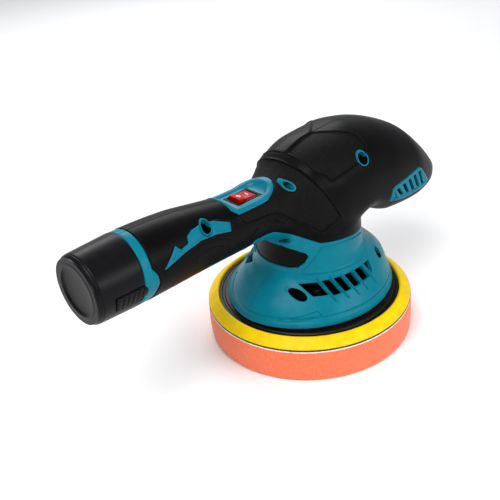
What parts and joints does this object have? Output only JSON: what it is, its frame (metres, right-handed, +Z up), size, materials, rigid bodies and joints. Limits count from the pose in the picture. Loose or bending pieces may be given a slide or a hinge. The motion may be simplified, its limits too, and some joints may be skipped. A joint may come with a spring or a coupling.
{
  "type": "dual action polisher",
  "caption": "Cordless dual action polisher: slim battery grip, rocker switch, rounded motor head, vented skirt and a round foam pad on an orbiting backing plate.",
  "frame": {"origin": "centre of the foam pad's lower face with the pad's axis 1.5 mm off the motor axis along +Y at rest; the motor axis is x = 0, y = 0", "axes": "+Z up the motor, +X from the battery towards the nose, the housing's split is the plane y = 0"},
  "size_m": [0.302, 0.15, 0.15],
  "materials": {
    "teal_shell": "fine satin moulded",
    "teal_trim": "satin moulded",
    "black_grip": "satin, slightly textured",
    "black_plastic": "satin",
    "red_rocker": "gloss",
    "white_print": "gloss",
    "zinc_steel": "zinc plated",
    "ferrite": "sintered",
    "carbon": "pressed carbon",
    "bearing_steel": "ground",
    "dark_steel": "black oxide",
    "lamination_steel": "stacked",
    "copper": "enamelled copper",
    "cast_alloy": "die cast",
    "plate_nylon": "moulded nylon",
    "yellow_foam": "moulded soft polyurethane",
    "hook_black": "hook tape",
    "pale_loop": "brushed loop",
    "orange_foam": "open cell foam",
    "board_green": "solder mask",
    "contact_brass": "bright",
    "lead_red": "silicone sleeve",
    "lead_black": "silicone sleeve",
    "battery_black": "satin",
    "cell_blue": "shrink sleeve"
  },
  "bodies": {
    "housing": {"left_housing": "teal_shell", "right_housing": "teal_shell", "left_overmould": "black_grip", "right_overmould": "black_grip", "finger_rest": "black_grip", "left_nose_vent": "teal_trim", "right_nose_vent": "teal_trim", "left_grip_trim": "teal_trim", "right_grip_trim": "teal_trim", "switch_surround": "teal_trim", "switch_body": "black_plastic", "motor_can": "zinc_steel", "motor_end_bell": "black_plastic", "field_magnets": "ferrite", "carbon_brushes": "carbon", "motor_bearings": "bearing_steel", "motor_mount_plate": "zinc_steel", "motor_screws": "dark_steel", "housing_screws": "dark_steel", "control_board": "board_green", "board_components": "black_plastic", "terminal_block": "black_plastic", "terminal_blades": "contact_brass", "supply_leads": "lead_red", "motor_leads": "lead_black"},
    "rotor": {"motor_shaft": "bearing_steel", "armature_core": "lamination_steel", "windings": "copper", "commutator": "copper", "cooling_fan": "black_plastic", "eccentric_hub": "cast_alloy", "counterweight": "dark_steel", "eccentric_bearings": "bearing_steel"},
    "pad": {"pad_spindle": "bearing_steel", "plate_bolts": "dark_steel", "backing_plate": "plate_nylon", "backing_foam": "yellow_foam", "hook_disc": "hook_black", "loop_layer": "pale_loop", "foam_pad": "orange_foam"},
    "rocker": {"rocker": "red_rocker", "rocker_marks": "white_print"},
    "battery": {"battery_case": "battery_black", "battery_stem": "black_plastic", "battery_cells": "cell_blue", "battery_contacts": "contact_brass"},
    "left_button": {"left_release_button": "battery_black"},
    "right_button": {"right_release_button": "battery_black"}
  },
  "joints": [
    {"name": "rotor_spin", "type": "hinge", "parent": "housing", "child": "rotor", "pos_m": [0, 0, 0], "axis": [0, 0, 1], "continuous": true},
    {"name": "pad_spin", "type": "hinge", "parent": "rotor", "child": "pad", "pos_m": [0, 0.0015, 0], "axis": [0, 0, 1], "continuous": true},
    {"name": "rocker_tilt", "type": "hinge", "parent": "housing", "child": "rocker", "pos_m": [-0.057, 0, 0.125], "axis": [0, -1, 0], "range_deg": [0, 18]},
    {"name": "battery_slide", "type": "slide", "parent": "housing", "child": "battery", "axis": [-1, 0, 0], "range_m": [0, 0.06]},
    {"name": "left_catch", "type": "slide", "parent": "battery", "child": "left_button", "axis": [0, -1, 0], "range_m": [0, 0.0018], "stiffness_N_per_m": 600},
    {"name": "right_catch", "type": "slide", "parent": "battery", "child": "right_button", "axis": [0, 1, 0], "range_m": [0, 0.0018], "stiffness_N_per_m": 600}
  ]
}
